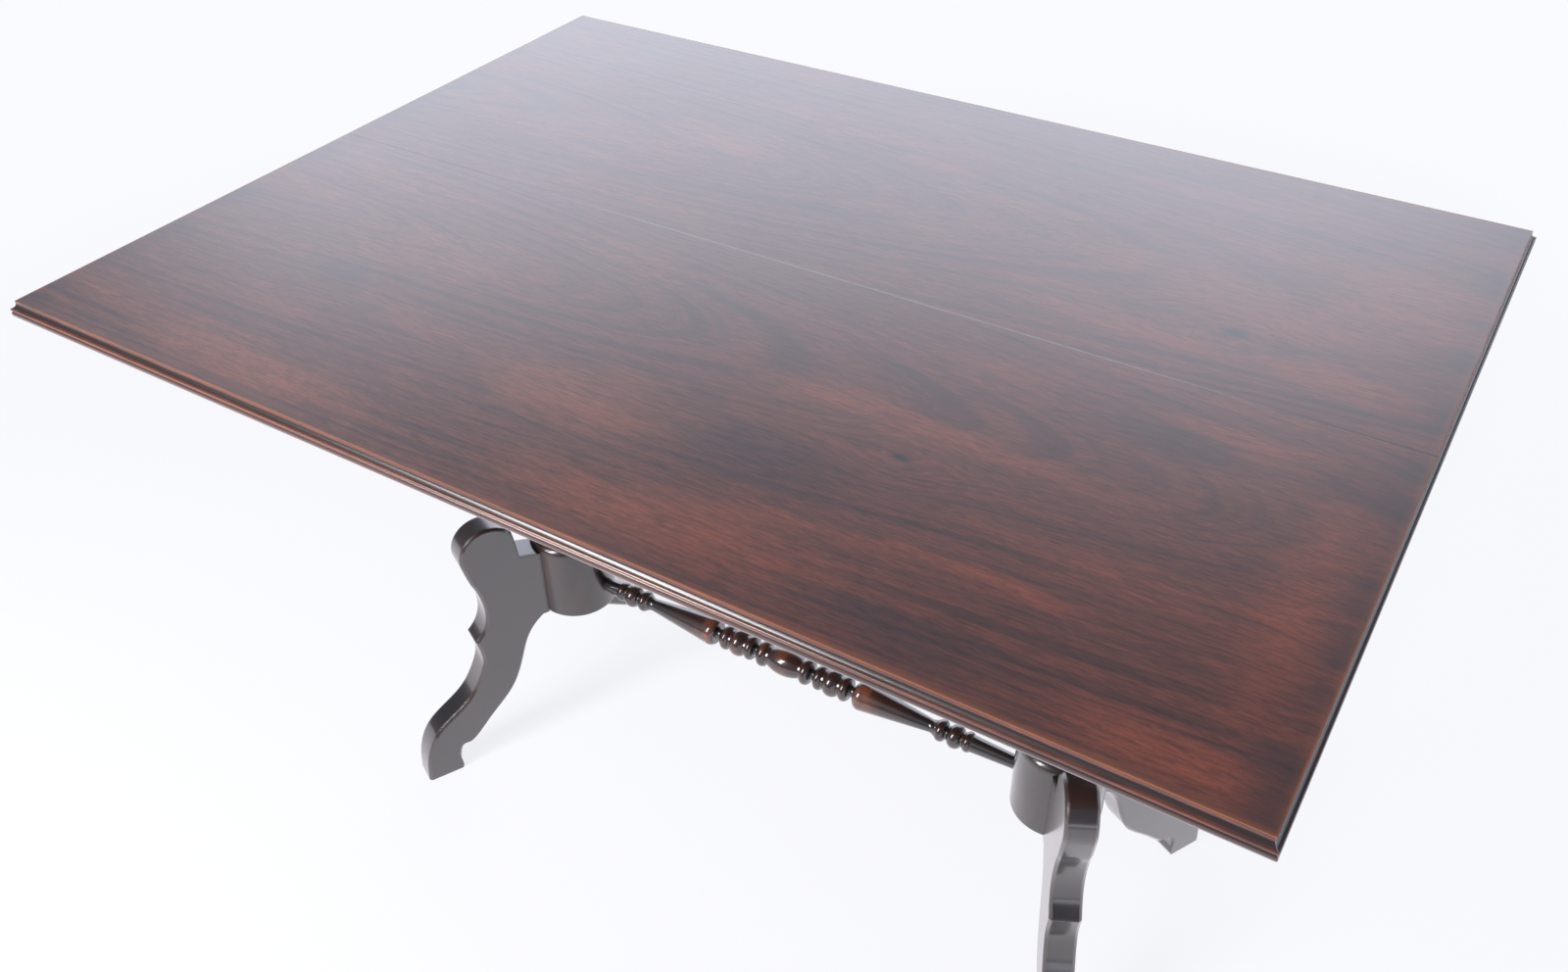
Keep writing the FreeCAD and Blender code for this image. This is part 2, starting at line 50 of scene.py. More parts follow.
# %% [markdown]
# ## Camera
# The picture looks down on the table from its front right. A camera could be aimed with a constraint,
# but here its place, turn, dip and roll are known, so we multiply their rotations. The last quarter turn
# makes a camera that looks along its own -Z look along +Y before the other turns are applied.

# %% Camera
camera_place = Vector((0.5821, -0.9407, 1.3659))
camera_turn = math.radians(32.342)
camera_dip = math.radians(-38.408)
camera_roll = math.radians(0.896)
camera_lens_mm = 32.35
camera_sensor_mm = 36.0
quarter_turn = math.radians(90)

camera = bpy.data.objects.new("camera", bpy.data.cameras.new("camera"))
camera.data.sensor_width = camera_sensor_mm
camera.data.lens = camera_lens_mm
aim = Matrix.Rotation(camera_turn, 4, "Z") @ Matrix.Rotation(camera_dip, 4, "X")
aim = aim @ Matrix.Rotation(camera_roll, 4, "Y") @ Matrix.Rotation(quarter_turn, 4, "X")
camera.matrix_world = Matrix.Translation(camera_place) @ aim
scene.collection.objects.link(camera)
scene.camera = camera
print("camera at", [round(v, 3) for v in camera_place], "lens", camera_lens_mm, "mm")

# %% [markdown]
# ## Building nodes
# Materials are graphs, and a graph is easier to read when each node takes one line. `put` makes a node
# and fills its sockets: a socket given as a value is linked, anything else is set. `calc` is a Math
# node, and `plus`, `minus` and `times` are its commonest uses. `span` maps a stretch of values smoothly
# to another one, from 0 to 1 unless told otherwise, and `blend` mixes two colours.

# %% Node helpers
def fill(tree, socket, value):
    if isinstance(value, bpy.types.NodeSocket):
        tree.links.new(value, socket)
    else:
        socket.default_value = value


def put(tree, kind, settings=None, **values):
    made = tree.nodes.new("ShaderNode" + kind)
    for name, value in (settings or {}).items():
        setattr(made, name, value)
    for name, value in values.items():
        fill(tree, made.inputs[name.replace("_", " ")], value)
    return made


def calc(tree, operation, first, second=0.0, clamp=False):
    made = put(tree, "Math", {"operation": operation, "use_clamp": clamp})
    fill(tree, made.inputs[0], first)
    fill(tree, made.inputs[1], second)
    return made.outputs[0]


def plus(tree, first, second):
    return calc(tree, "ADD", first, second)


def minus(tree, first, second):
    return calc(tree, "SUBTRACT", first, second)


def times(tree, first, second):
    return calc(tree, "MULTIPLY", first, second)


def larger(tree, first, second):
    return calc(tree, "MAXIMUM", first, second)


def distance(tree, first, second):
    return calc(tree, "SQRT", plus(tree, times(tree, first, first), times(tree, second, second)))


def span(tree, value, low, high, to_low=0.0, to_high=1.0):
    made = put(tree, "MapRange", {"interpolation_type": "SMOOTHSTEP"}, Value=value)
    # Inputs 1 to 4 are the lowest and highest value, and what they become.
    for socket, number in zip(made.inputs[1:5], (low, high, to_low, to_high)):
        fill(tree, socket, number)
    return made.outputs[0]


def blend(tree, factor, first, second, way="MIX"):
    made = put(tree, "Mix", {"data_type": "RGBA", "blend_type": way, "clamp_factor": True})
    # A Mix node has sockets for every kind of value: 6 and 7 are its two colours, and 2 is the result.
    fill(tree, made.inputs[0], factor)
    fill(tree, made.inputs[6], first)
    fill(tree, made.inputs[7], second)
    return made.outputs[2]


# %% [markdown]
# Places are vectors. `vector` and `split` join and part their three numbers, `turned` puts another axis
# first, and `vector_calc` is a Vector Math node. `shaded` multiplies a colour by one value.

# %% Place helpers
def vector(tree, x, y, z):
    return put(tree, "CombineXYZ", X=x, Y=y, Z=z).outputs[0]


def split(tree, place):
    return list(put(tree, "SeparateXYZ", Vector=place).outputs)


def turned(tree, place, order):
    parts = dict(zip("XYZ", split(tree, place)))
    return vector(tree, *[parts[axis] for axis in order])


def vector_calc(tree, operation, first, second=(0, 0, 0)):
    made = put(tree, "VectorMath", {"operation": operation})
    fill(tree, made.inputs[0], first)
    fill(tree, made.inputs[1], second)
    gives_number = operation in ("LENGTH", "DOT_PRODUCT")
    return made.outputs["Value" if gives_number else "Vector"]


def noise(tree, place, scale=1.0, detail=2.0, roughness=0.5, distortion=0.0):
    made = put(tree, "TexNoise", {}, Vector=place, Scale=scale, Detail=detail, Roughness=roughness,
               Distortion=distortion)
    return made.outputs["Fac"]


def shaded(tree, colour, value):
    return blend(tree, 1.0, colour, vector(tree, value, value, value), "MULTIPLY")


# %% [markdown]
# `new_group` starts a shader group with named sockets, so that an effect is built once and each material
# places it with `use` and its own values. `new_material` starts a material, and `dress` puts it on pieces.

# %% Group and material helpers
def new_group(name, inputs, outputs):
    group = bpy.data.node_groups.new(name, "ShaderNodeTree")
    for label, kind, value in inputs:
        socket = group.interface.new_socket(label, in_out="INPUT", socket_type="NodeSocket" + kind)
        if value is not None:
            socket.default_value = value
    for label in outputs:
        group.interface.new_socket(label, in_out="OUTPUT", socket_type="NodeSocketFloat")
    taken = group.nodes.new("NodeGroupInput").outputs
    given = group.nodes.new("NodeGroupOutput").inputs
    return group, taken, given


def use(tree, group, **values):
    made = tree.nodes.new("ShaderNodeGroup")
    made.node_tree = group
    for name, value in values.items():
        fill(tree, made.inputs[name.replace("_", " ")], value)
    return made.outputs


def new_material(name):
    material = bpy.data.materials.new(name)
    material.use_nodes = True
    tree = material.node_tree
    shader = tree.nodes["Principled BSDF"].inputs
    place = put(tree, "TexCoord").outputs["Object"]
    return material, tree, shader, place


def dress(material, *names):
    for name in names:
        nodes[name].material_slots[0].material = material


# %% [markdown]
# ## Wood figure
# A board shows the growth rings of a trunk. Where the saw meets the rings at a shallow angle they close
# into long nested arches, and elsewhere they run as straight lines. We get both by measuring the
# distance from a pith line that is slightly tilted to the board. A one-dimensional noise of that
# distance gives rings of uneven width and darkness, which looks truer than a regular wave. Fibres,
# streaks, pores, patches and flecks are noise stretched along the grain. The group takes a place whose X
# runs along the grain.

# %% Wood figure group
noise_middle = 0.5
drift_along = 2.2
drift_across = 7.0
pore_span = (0.6, 0.72)
# Repeats per metre along, across and through the grain, then detail, roughness and distortion.
figure_noises = {
    "Fibre": (30.0, 620.0, 620.0, 4.0, 0.65, 0.0),
    "Streaks": (9.0, 230.0, 230.0, 5.0, 0.7, 0.0),
    "Pores": (55.0, 1500.0, 1500.0, 1.0, 0.5, 0.0),
    "Patches": (5.0, 21.0, 9.0, 3.0, 0.55, 0.4),
    "Flecks": (15.0, 300.0, 300.0, 3.0, 0.65, 0.0)}


def wood_figure_group():
    group, taken, given = new_group(
        "wood figure",
        [("Place", "Vector", None), ("Pith Start", "Float", -0.6), ("Pith Side", "Float", 0.0),
         ("Pith Slope", "Float", 0.12), ("Ring Width", "Float", 0.006), ("Wander", "Float", 0.012),
         ("Seed", "Float", 0.0)],
        ["Rings", *figure_noises])
    x, y, z = split(group, taken["Place"])
    seed = taken["Seed"]
    drift_place = vector(group, times(group, x, drift_along), times(group, y, drift_across),
                         plus(group, times(group, z, drift_across), seed))
    drift = put(group, "TexNoise", {}, Vector=drift_place, Scale=1.0, Detail=1.0, Roughness=0.4)
    drift_side, drift_depth, _ = split(group, drift.outputs["Color"])
    side = minus(group, y, taken["Pith Side"])
    side = plus(group, side, times(group, minus(group, drift_side, noise_middle), taken["Wander"]))
    depth = plus(group, times(group, minus(group, x, taken["Pith Start"]), taken["Pith Slope"]), z)
    depth = plus(group, depth, times(group, minus(group, drift_depth, noise_middle), taken["Wander"]))
    turns = calc(group, "DIVIDE", distance(group, side, depth), taken["Ring Width"])
    rings = put(group, "TexNoise", {"noise_dimensions": "1D"}, W=plus(group, turns, seed), Scale=0.8,
                Detail=4.0, Roughness=0.62)
    fill(group, given["Rings"], rings.outputs["Fac"])
    for name, (along, across, through, detail, roughness, distortion) in figure_noises.items():
        inward = times(group, depth, through)
        if name != "Pores":
            inward = plus(group, inward, seed)
        stretched = vector(group, times(group, x, along), times(group, side, across), inward)
        made = noise(group, stretched, detail=detail, roughness=roughness, distortion=distortion)
        if name == "Pores":
            made = span(group, made, *pore_span)
        fill(group, given[name], made)
    return group


wood_figure = wood_figure_group()
print("group:", wood_figure.name, [s.name for s in wood_figure.interface.items_tree])

# %% [markdown]
# ## Edge wear
# Polish rubs thin on every arris, and what lies under it shows. A Bevel node rounds the normal near an
# edge, so where it differs from the true normal there is an edge. A noise breaks the line up, because no
# hand rubs evenly.

# %% Edge wear group
edge_bend = (0.01, 0.12)
bare_from = 0.75
bare_to = 0.95


def edge_wear_group():
    group, taken, given = new_group(
        "edge wear",
        [("Place", "Vector", None), ("Radius", "Float", 0.0015), ("Break Up", "Float", 60.0),
         ("Cover", "Float", 0.5)],
        ["Mask"])
    rounded = put(group, "Bevel", {"samples": 6}, Radius=taken["Radius"]).outputs[0]
    true_normal = put(group, "NewGeometry").outputs["Normal"]
    match = vector_calc(group, "DOT_PRODUCT", rounded, true_normal)
    edge = span(group, minus(group, 1.0, match), *edge_bend)
    patch = noise(group, taken["Place"], taken["Break Up"], detail=3.0, roughness=0.6)
    bare = span(group, patch, minus(group, bare_from, taken["Cover"]),
                minus(group, bare_to, taken["Cover"]))
    fill(group, given["Mask"], calc(group, "MULTIPLY", edge, bare, True))
    return group


edge_wear = edge_wear_group()
print("group:", edge_wear.name)

# %% [markdown]
# ## Hand polish
# Rubbed polish is never perfectly even: there are cloudy places, and the pores and fibres still stand
# out a little. The group gives a roughness and a height for a Bump node.

# %% Hand polish group
cloud_scale = 9.0
pore_roughness = 0.12
fibre_height = 0.5


def hand_polish_group():
    group, taken, given = new_group(
        "hand polish",
        [("Place", "Vector", None), ("Fibre", "Float", 0.5), ("Pores", "Float", 0.0),
         ("Smooth", "Float", 0.2), ("Cloudy", "Float", 0.1)],
        ["Roughness", "Height"])
    cloud = noise(group, taken["Place"], cloud_scale, detail=4.0, roughness=0.6)
    rough = plus(group, taken["Smooth"], times(group, cloud, taken["Cloudy"]))
    rough = plus(group, rough, times(group, taken["Pores"], pore_roughness))
    fill(group, given["Roughness"], rough)
    height = minus(group, times(group, taken["Fibre"], fibre_height), taken["Pores"])
    fill(group, given["Height"], height)
    return group


hand_polish = hand_polish_group()
print("group:", hand_polish.name)

# %% [markdown]
# ## Soft spots
# Wood is not one colour: there are warm places, dark clouds and knots, each in its own place. A spot is
# where the distance from its centre, divided by its reach, is small. A noise is added to the place
# first, so that the outline is ragged like stain in wood and not an ellipse.

# %% Soft spot group
swirl_scale = (8.0, 70.0, 70.0)
spot_fade = (1.15, 0.25)


def soft_spot_group():
    group, taken, given = new_group(
        "soft spot",
        [("Place", "Vector", None), ("Centre", "Vector", None), ("Reach", "Vector", None),
         ("Ragged", "Float", 0.02)],
        ["Mask"])
    stretched = vector_calc(group, "MULTIPLY", taken["Place"], swirl_scale)
    swirl = put(group, "TexNoise", {}, Vector=stretched, Scale=1.0, Detail=4.0, Roughness=0.65)
    swirl_x, swirl_y, _ = split(group, swirl.outputs["Color"])
    push_x = times(group, minus(group, swirl_x, noise_middle), taken["Ragged"])
    push_y = times(group, minus(group, swirl_y, noise_middle), taken["Ragged"])
    moved = vector_calc(group, "ADD", taken["Place"], vector(group, push_x, push_y, 0.0))
    offset = vector_calc(group, "SUBTRACT", moved, taken["Centre"])
    share = vector_calc(group, "DIVIDE", offset, taken["Reach"])
    fill(group, given["Mask"], span(group, vector_calc(group, "LENGTH", share), *spot_fade))
    return group


soft_spot = soft_spot_group()
print("group:", soft_spot.name)


# %% Many spots as one mask
def one_spot(tree, place, spot, ragged, spread=1):
    x, y, reach_x, reach_y = spot
    reach = (reach_x * spread, reach_y * spread, 1)
    return use(tree, soft_spot, Place=place, Centre=(x, y, 0), Reach=reach, Ragged=ragged)["Mask"]


def spots(tree, place, places, ragged):
    mask = 0.0
    for spot in places:
        mask = larger(tree, one_spot(tree, place, spot, ragged), mask)
    return mask


# %% [markdown]
# ## The polished top
# The two boards are a dark red-brown wood with a satin polish. Each gets the same material with its own
# pith, warm places, dark clouds and knots, so that the arches of the two boards differ. A spot is given
# by its centre and its reach along and across the board.

# %% Places on the top
surface_half_length = 0.550
surface_half_depth = 0.397
top_height = cad_high.z
underside_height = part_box("front_board")[0].z
front_warm = ((-0.045, -0.268, 0.10, 0.036), (0.095, -0.348, 0.17, 0.034), (0.52, -0.21, 0.05, 0.14),
              (0.43, -0.052, 0.08, 0.022), (-0.29, -0.365, 0.16, 0.028), (0.20, -0.16, 0.20, 0.022),
              (0.49, -0.375, 0.09, 0.03), (0.33, -0.29, 0.09, 0.014))
front_dark = ((0.125, -0.255, 0.09, 0.045), (0.305, -0.365, 0.11, 0.028), (0.38, -0.078, 0.07, 0.03),
              (-0.332, -0.215, 0.04, 0.022))
rear_warm = ((0.02, 0.245, 0.05, 0.016), (-0.184, 0.177, 0.06, 0.018), (0.46, 0.06, 0.08, 0.03),
             (0.40, 0.13, 0.12, 0.035), (0.49, 0.21, 0.09, 0.09), (0.30, 0.055, 0.12, 0.02))
rear_dark = ((-0.31, 0.109, 0.06, 0.012), (-0.03, 0.105, 0.06, 0.012), (0.25, 0.35, 0.12, 0.012))
front_knots = ((0.216, -0.201, 0.010, 0.006),)
rear_knots = ((0.372, 0.089, 0.014, 0.008),)
print("top: height", round(top_height, 4), "thickness", round(top_height - underside_height, 4))

# %% [markdown]
# The moulded edge is worn to orange on the arris and the bead. Its cove and nosing get painted shade, and the
# mitre at each corner a thin painted glint. We know where these lines run, so their masks are made from the
# place, which gives thinner and steadier lines than a Bevel node would. `past` is how far a point lies
# outside the flat surface, and `drop` how far below it.

# %% Moulded edge group
cove_drop = 0.0068
bead_drop = 0.0094
rim_past = (-0.0075, -0.0005)
rim_drop = (0.0012, 0.0004)
rim_on_ends = 0.4
arris_past = (-0.0016, -0.0004)
arris_drop = (0.0018, 0.0006)
arris_rubbed = (0.28, 0.6, 0.35, 1.0)
rubbing_scale = 22.0
outside_past = (0.0, 0.0004)
cove_from = (0.0008, 0.0018)
cove_to = (cove_drop, cove_drop - 0.0008)
bead_from = (cove_drop - 0.0002, cove_drop + 0.0006)
bead_to = (bead_drop - 0.0006, bead_drop - 0.0014)
nosing_from = (bead_drop - 0.0006, bead_drop + 0.0008)
# Where the mitre glint, a painted highlight, runs along each corner.
mitre_width = (0.0007, 0.0002)
mitre_past = (-0.001, 0.0004)


def moulded_edge_group():
    group, taken, given = new_group(
        "moulded edge", [("Place", "Vector", None)],
        ["Rim", "Arris", "Cove", "Bead", "Nosing", "Mitre Glint"])
    x, y, z = split(group, taken["Place"])
    past_end = minus(group, calc(group, "ABSOLUTE", x), surface_half_length)
    past_side = minus(group, calc(group, "ABSOLUTE", y), surface_half_depth)
    past = larger(group, past_end, past_side)
    drop = minus(group, top_height, z)
    rim_end = span(group, past_end, *rim_past, 0.0, rim_on_ends)
    rim = larger(group, span(group, past_side, *rim_past), rim_end)
    fill(group, given["Rim"], times(group, rim, span(group, drop, *rim_drop)))
    arris = times(group, span(group, past, *arris_past), span(group, drop, *arris_drop))
    rubbing = noise(group, taken["Place"], rubbing_scale, detail=3.0, roughness=0.6)
    rubbed = span(group, rubbing, *arris_rubbed)
    fill(group, given["Arris"], times(group, arris, rubbed))
    outside = span(group, past, *outside_past)
    # The Cove and Nosing masks say where painted shade goes on the edge.
    cove = times(group, span(group, drop, *cove_from), span(group, drop, *cove_to))
    fill(group, given["Cove"], times(group, outside, cove))
    bead = times(group, span(group, drop, *bead_from), span(group, drop, *bead_to))
    fill(group, given["Bead"], times(group, times(group, outside, bead), rubbed))
    fill(group, given["Nosing"], times(group, outside, span(group, drop, *nosing_from)))
    # The mitre mask places a painted glint along each corner.
    corner = span(group, calc(group, "ABSOLUTE", minus(group, past_end, past_side)), *mitre_width)
    fill(group, given["Mitre Glint"], times(group, corner, span(group, past, *mitre_past)))
    return group


moulded_edge = moulded_edge_group()
print("group:", moulded_edge.name)

# %% [markdown]
# Grain flows round a knot. Before the figure is made, the place near a knot is pulled towards the
# knot's own line, and the rings and fibres then part round it.

# %% Grain round a knot
knot_pull = 0.7
knot_pull_spread = 7
knot_pull_ragged = 0.01


def bent_round(tree, place, knots):
    for knot in knots:
        near = one_spot(tree, place, knot, knot_pull_ragged, knot_pull_spread)
        x, y, z = split(tree, place)
        pull = times(tree, minus(tree, y, knot[1]), times(tree, near, knot_pull))
        place = vector(tree, x, minus(tree, y, pull), z)
    return place


# %% [markdown]
# The colour of a board is laid on in the order in which a polisher would see it: rings first, then
# streaks, warm patches and clouds, then fibres, pores and knots. The boards turn redder towards the right
# and darker at both ends.

# %% Colour of a board
dark_vein = (0.030, 0.015, 0.015, 1)
red_brown = (0.108, 0.036, 0.026, 1)
warm_brown = (0.19, 0.055, 0.03, 1)
cloud_brown = (0.032, 0.018, 0.021, 1)
knot_black = (0.016, 0.010, 0.010, 1)
no_tint = (1, 1, 1, 1)
right_end_red = (1.18, 0.98, 0.92, 1)
ring_tone = (0.32, 0.6, 0.32, 1.0)
streak_tone = (0.36, 0.6, 0.22, 0.0)
patch_place = (0.45, 0.72)
patch_streaks = (0.38, 0.6, 0.5, 1.0)
patch_strength = 0.6
warm_streaks = (0.34, 0.56, 0.5, 0.85)
cloud_streaks = (0.62, 0.42, 0.4, 0.75)
spot_ragged = 0.05
fibre_tone = (0.3, 0.7, 0.76, 1.24)
fleck_tone = (0.34, 0.54, 0.74, 1.12)
redder_from_to = (-0.05, 0.35)
pore_strength = 0.35
knot_ragged = 0.008
end_place = (0.505, 0.546)
end_patches = (0.6, 0.4, 0.15, 0.7)


def board_colour(tree, level, x, figure, warm, dark, knots):
    streaks = figure["Streaks"]
    colour = blend(tree, span(tree, figure["Rings"], *ring_tone), dark_vein, red_brown)
    colour = blend(tree, span(tree, streaks, *streak_tone), colour, cloud_brown)
    patchy = times(tree, span(tree, figure["Patches"], *patch_place), span(tree, streaks, *patch_streaks))
    colour = blend(tree, times(tree, patchy, patch_strength), colour, warm_brown)
    warmth = times(tree, spots(tree, level, warm, spot_ragged), span(tree, streaks, *warm_streaks))
    colour = blend(tree, warmth, colour, warm_brown)
    clouds = times(tree, spots(tree, level, dark, spot_ragged), span(tree, streaks, *cloud_streaks))
    colour = blend(tree, clouds, colour, cloud_brown)
    fibre = times(tree, span(tree, figure["Fibre"], *fibre_tone), span(tree, figure["Flecks"], *fleck_tone))
    colour = shaded(tree, colour, fibre)
    redder = blend(tree, span(tree, x, *redder_from_to), no_tint, right_end_red)
    colour = blend(tree, 1.0, colour, redder, "MULTIPLY")
    colour = blend(tree, times(tree, figure["Pores"], pore_strength), colour, dark_vein)
    colour = blend(tree, spots(tree, level, knots, knot_ragged), colour, knot_black)
    ends = times(tree, span(tree, calc(tree, "ABSOLUTE", x), *end_place),
                 span(tree, figure["Patches"], *end_patches))
    return blend(tree, ends, colour, cloud_brown)


# %% [markdown]
# The edge's colours follow its masks. The cove and the nosing get painted shade, which on the nosing deepens
# towards the right end, where the rim is rubbed more and the bead keeps its polish.

# %% Colour of the edge
# Painted shade: the cove colour darkens the cove, and the nosing colour the nosing under the bead.
cove_painted_shade = (0.016, 0.007, 0.006, 1)
nosing_painted_shade = (0.05, 0.018, 0.014, 1)
worn_orange = (0.27, 0.088, 0.036, 1)
rim_orange = (0.25, 0.078, 0.03, 1)
# A pale painted highlight along the mitre of each corner.
painted_mitre_glint = (0.45, 0.40, 0.42, 1)
rim_patches = (0.35, 0.6, 0.4, 0.95)
rim_along = (0.0, 0.42, 0.2, 1.0)
nosing_along = (0.1, 0.45, 0.75, 0.95)
nosing_shade_deepens = (0.1, 0.45, 0.0, 0.6)
bead_along = (0.1, 0.42, 0.55, 0.08)
mitre_glint_strength = 0.3


def rubbed_rim(tree, x, edge, figure):
    rim = times(tree, edge["Rim"], span(tree, figure["Patches"], *rim_patches))
    return times(tree, rim, span(tree, x, *rim_along))


def edge_colour(tree, colour, x, edge, rim):
    colour = blend(tree, rim, colour, rim_orange)
    # Painted shade in the cove, and on the nosing, where it deepens towards the right end.
    colour = blend(tree, edge["Cove"], colour, cove_painted_shade)
    nosing_shade = blend(tree, span(tree, x, *nosing_shade_deepens), nosing_painted_shade, cove_painted_shade)
    nosing = times(tree, edge["Nosing"], span(tree, x, *nosing_along))
    colour = blend(tree, nosing, colour, nosing_shade)
    colour = blend(tree, times(tree, edge["Bead"], span(tree, x, *bead_along)), colour, worn_orange)
    colour = blend(tree, edge["Arris"], colour, worn_orange)
    # The mitre gets a faint painted glint.
    return blend(tree, times(tree, edge["Mitre Glint"], mitre_glint_strength), colour, painted_mitre_glint)


# %% [markdown]
# The joint between the boards is a fine line, black towards its ends, with a pale painted highlight between
# them.

# %% Colour of the joint
# The joint's pale colour is a painted highlight.
joint_painted_highlight = (0.30, 0.255, 0.28, 1)
joint_width = (0.0022, 0.0006)
joint_height = (top_height - 0.0012, top_height - 0.0004)
joint_highlight_from = (-0.40, -0.15)
joint_highlight_to = (0.50, 0.30)


def joint_colour(tree, colour, place, strength):
    x, y, z = split(tree, place)
    line = times(tree, span(tree, calc(tree, "ABSOLUTE", y), *joint_width), span(tree, z, *joint_height))
    # pale is where the painted highlight runs along the joint.
    pale = times(tree, span(tree, x, *joint_highlight_from), span(tree, x, *joint_highlight_to))
    return blend(tree, times(tree, line, strength), colour, blend(tree, pale, knot_black, joint_painted_highlight))


# %% [markdown]
# The material puts these together. The underside was planed and oiled but not polished, so there the
# roughness rises and the coat thins out. The coat is thin too where the edge is rubbed bare.

# %% Top material
top_gloss = 1.6
top_coat_roughness = 0.2
underside_fade = (underside_height + 0.0010, underside_height + 0.0003)
underside_roughness = 0.5
rim_bare = 0.5
edge_bare = 0.85
bare_coat = 0.1


def top_material(name, pith_start, pith_side, seed, warm, dark, knots, joint_strength):
    material, tree, shader, place = new_material(name)
    level = vector_calc(tree, "SUBTRACT", place, (0, 0, top_height))
    figure = use(tree, wood_figure, Place=bent_round(tree, level, knots), Pith_Start=pith_start,
                 Pith_Side=pith_side, Pith_Slope=0.126, Ring_Width=0.0062, Wander=0.026, Seed=seed)
    x, _, z = split(tree, place)
    edge = use(tree, moulded_edge, Place=place)
    rim = rubbed_rim(tree, x, edge, figure)
    colour = board_colour(tree, level, x, figure, warm, dark, knots)
    colour = edge_colour(tree, colour, x, edge, rim)
    fill(tree, shader["Base Color"], joint_colour(tree, colour, place, joint_strength))
    polish = use(tree, hand_polish, Place=place, Fibre=figure["Streaks"], Pores=0.0, Smooth=0.28, Cloudy=0.08)
    below = span(tree, z, *underside_fade)
    planed = times(tree, below, underside_roughness)
    fill(tree, shader["Roughness"], larger(tree, polish["Roughness"], planed))
    bare = times(tree, larger(tree, edge["Arris"], times(tree, rim, rim_bare)), edge_bare)
    fill(tree, shader["Coat Weight"], span(tree, larger(tree, below, bare), 0.0, 1.0, 1.0, bare_coat))
    bump = put(tree, "Bump", {}, Height=polish["Height"], Strength=0.1, Distance=0.0002)
    fill(tree, shader["Normal"], bump.outputs[0])
    shader["IOR"].default_value = top_gloss
    shader["Coat Roughness"].default_value = top_coat_roughness
    shader["Coat IOR"].default_value = top_gloss
    return material


front_wood = top_material("front board wood", pith_start=-0.62, pith_side=-0.125, seed=3.7, warm=front_warm,
                          dark=front_dark, knots=front_knots, joint_strength=0.85)
rear_wood = top_material("rear board wood", pith_start=-0.75, pith_side=0.161, seed=11.2, warm=rear_warm,
                         dark=rear_dark, knots=rear_knots, joint_strength=0.2)
dress(front_wood, "front_board")
dress(rear_wood, "rear_board")
print("top boards:", front_wood.name, "and", rear_wood.name)

# %% [markdown]
# ## Ebonised legs and columns
# The base is stained nearly black and polished. Most of what we see on it is reflection, so the colour is
# very dark and the coat does the work. The grain runs up the legs and columns, so the place is turned
# to put the height first. Years of rubbing have softened the arrises, so a Bevel node rounds the normal
# there and lets them catch the light.

# %% Base material
ebony = (0.009, 0.007, 0.0075, 1)
ebony_brown = (0.026, 0.013, 0.012, 1)
column_dark = (0.012, 0.008, 0.008, 1)
column_brown = (0.04, 0.018, 0.015, 1)
worn_brown = (0.16, 0.052, 0.028, 1)
stain_patches = (0.35, 0.7)
soft_arris_radius = 0.005
base_coat_roughness = 0.1


def base_material(name, dark, brown, gloss):
    material, tree, shader, place = new_material(name)
    figure = use(tree, wood_figure, Place=turned(tree, place, "ZXY"), Pith_Start=-2.0, Pith_Side=0.1,
                 Pith_Slope=0.03, Ring_Width=0.004, Wander=0.02, Seed=5.0)
    colour = blend(tree, span(tree, figure["Patches"], *stain_patches), dark, brown)
    worn = use(tree, edge_wear, Place=place, Radius=0.0018, Break_Up=45.0, Cover=0.42)
    fill(tree, shader["Base Color"], blend(tree, worn["Mask"], colour, worn_brown))
    polish = use(tree, hand_polish, Place=place, Fibre=figure["Fibre"], Pores=0.0, Smooth=0.24, Cloudy=0.14)
    fill(tree, shader["Roughness"], polish["Roughness"])
    softened = put(tree, "Bevel", {"samples": 8}, Radius=soft_arris_radius)
    bump = put(tree, "Bump", {}, Height=polish["Height"], Normal=softened.outputs[0], Strength=0.08,
               Distance=0.0002)
    fill(tree, shader["Normal"], bump.outputs[0])
    shader["IOR"].default_value = gloss
    shader["Coat Weight"].default_value = 1.0
    shader["Coat Roughness"].default_value = base_coat_roughness
    shader["Coat IOR"].default_value = gloss
    return material


leg_wood = base_material("ebonised leg wood", ebony, ebony_brown, gloss=1.75)
column_wood = base_material("ebonised column wood", column_dark, column_brown, gloss=1.62)
dress(leg_wood, "left_front_leg", "left_rear_leg", "right_front_leg", "right_rear_leg")
dress(column_wood, "left_column", "right_column")
print("base:", leg_wood.name, "and", column_wood.name)

# %% [markdown]
# ## The turned stretcher
# On the stretcher the polish has rubbed through on the crowns of the beads, which show warm brown, while
# the grooves stay black. The distance from the turning axis tells crown from groove.

# %% Stretcher material
stretcher_low, stretcher_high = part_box("stretcher")
stretcher_axis_height = (stretcher_low.z + stretcher_high.z) / 2
taper_brown = (0.024, 0.009, 0.0075, 1)
crown_brown = (0.2, 0.062, 0.03, 1)
taper_radius = (0.0085, 0.0125)
crown_radius = (0.0135, 0.0172)
crown_rubbed = (0.44, 0.66, 0.03, 0.85)
crown_rubbing_scale = 30.0
stretcher_fibre = (0.3, 0.7, 0.75, 1.25)
stretcher_gloss = 1.8
stretcher_coat_roughness = 0.05


